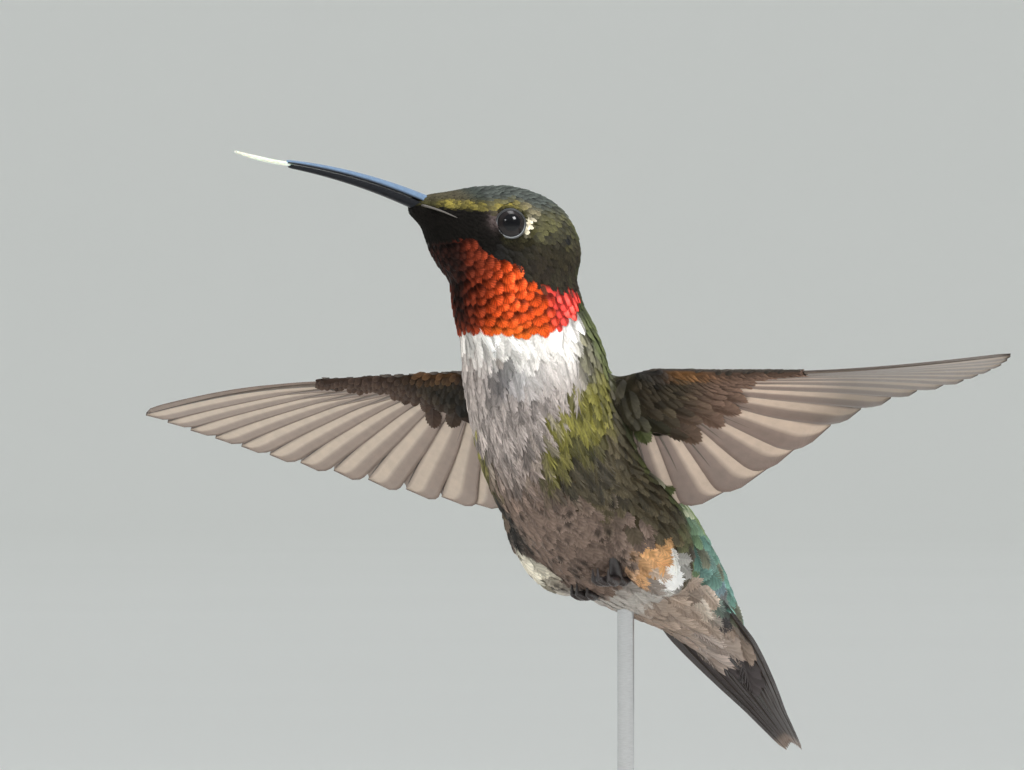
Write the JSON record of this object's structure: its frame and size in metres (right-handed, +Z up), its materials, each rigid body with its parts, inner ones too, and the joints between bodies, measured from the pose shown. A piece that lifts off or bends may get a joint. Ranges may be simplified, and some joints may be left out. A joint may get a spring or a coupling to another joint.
{
  "type": "ruby-throated hummingbird, life-size still model",
  "caption": "Life-size still model of a hovering adult male ruby-throated hummingbird, wings out, tongue showing, held on a plain round base by a thin rod.",
  "frame": {"origin": "centre of the underside of the stand's round base, below its rod", "axes": "+Z up; -Y is the way the bird's trunk faces; +X is the bird's left"},
  "size_m": [0.0993, 0.0733, 0.0743],
  "materials": {
    "plumage": "overlapping body feathers, bronze green above with a soft metallic sheen, white to grey-brown below",
    "gorget": "small round scale-like feathers, iridescent orange red to ruby",
    "flight_feather": "thin smooth vanes with dark shafts, grey brown, slightly satin",
    "tail_feather": "smooth vanes, blackish with a faint purple gloss",
    "bill": "smooth black horn, satin",
    "tongue": "moist, pale, translucent looking",
    "eye": "polished, almost black",
    "foot": "fine black scales, satin",
    "stand_wood": "turned dark walnut, satin varnish",
    "stand_steel": "fine brushed"
  },
  "bodies": {
    "root": {"head": "plumage", "neck": "gorget", "trunk": "plumage", "bill_upper": "bill", "bill_lower": "bill", "tongue": "tongue", "eye_left": "eye", "eye_right": "eye", "wing_left_arm": "plumage", "wing_left_primaries": "flight_feather", "wing_left_secondaries": "flight_feather", "wing_right_arm": "plumage", "wing_right_primaries": "flight_feather", "wing_right_secondaries": "flight_feather", "tail": "tail_feather", "foot_left": "foot", "foot_right": "foot", "stand_base": "stand_wood", "stand_rod": "stand_steel"}
  },
  "joints": []
}
